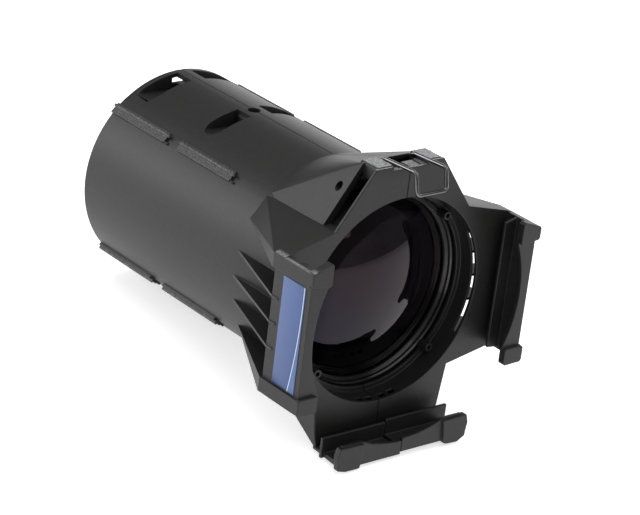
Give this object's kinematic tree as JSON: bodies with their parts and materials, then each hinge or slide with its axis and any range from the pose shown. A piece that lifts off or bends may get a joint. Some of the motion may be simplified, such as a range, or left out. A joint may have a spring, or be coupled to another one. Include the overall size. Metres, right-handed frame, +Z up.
{
  "type": "spotlight lens tube",
  "caption": "Black barrel of an ellipsoidal spotlight: two half shells, a square frame holder, two lenses and a wire retaining bail.",
  "frame": {"origin": "on the optical axis, at the front face of the front plate that colour frames rest against", "axes": "+Y along the optical axis towards the rear end of the barrel, +Z up, +X to the right when the lens is seen from the front"},
  "size_m": [0.166, 0.2395, 0.1733],
  "materials": {
    "shell": "black satin with a fine moulded texture",
    "ring": "black, semi-gloss",
    "lens_glass": "polished, with a purple anti-reflection coating",
    "gasket": "matt black silicone",
    "spacer": "black anodised",
    "wire": "bright plated spring wire",
    "label": "printed film, blue with a plain light line",
    "brass": "machined",
    "screw": "zinc plated"
  },
  "bodies": {
    "tube": {"shell_left": "shell", "shell_right": "shell", "lens_retaining_ring": "ring", "front_lens": "lens_glass", "front_lens_gasket": "gasket", "lens_spacer": "spacer", "rear_lens_gasket": "gasket", "rear_lens": "lens_glass", "side_label": "label", "focus_nut": "brass", "screw_top_front": "screw", "screw_bottom_front": "screw", "screw_bottom_middle": "screw", "screw_bottom_rear": "screw", "insert_top_front": "brass", "insert_bottom_front": "brass", "insert_bottom_middle": "brass", "insert_bottom_rear": "brass", "pin_top_middle": "screw", "pin_top_rear": "screw"},
    "bail": {"wire_bail": "wire"}
  },
  "joints": [
    {"name": "bail_hinge", "type": "hinge", "parent": "tube", "child": "bail", "pos_m": [0, 0.0126, 0.0812], "axis": [-1, 0, 0], "range_deg": [0, 100]}
  ]
}
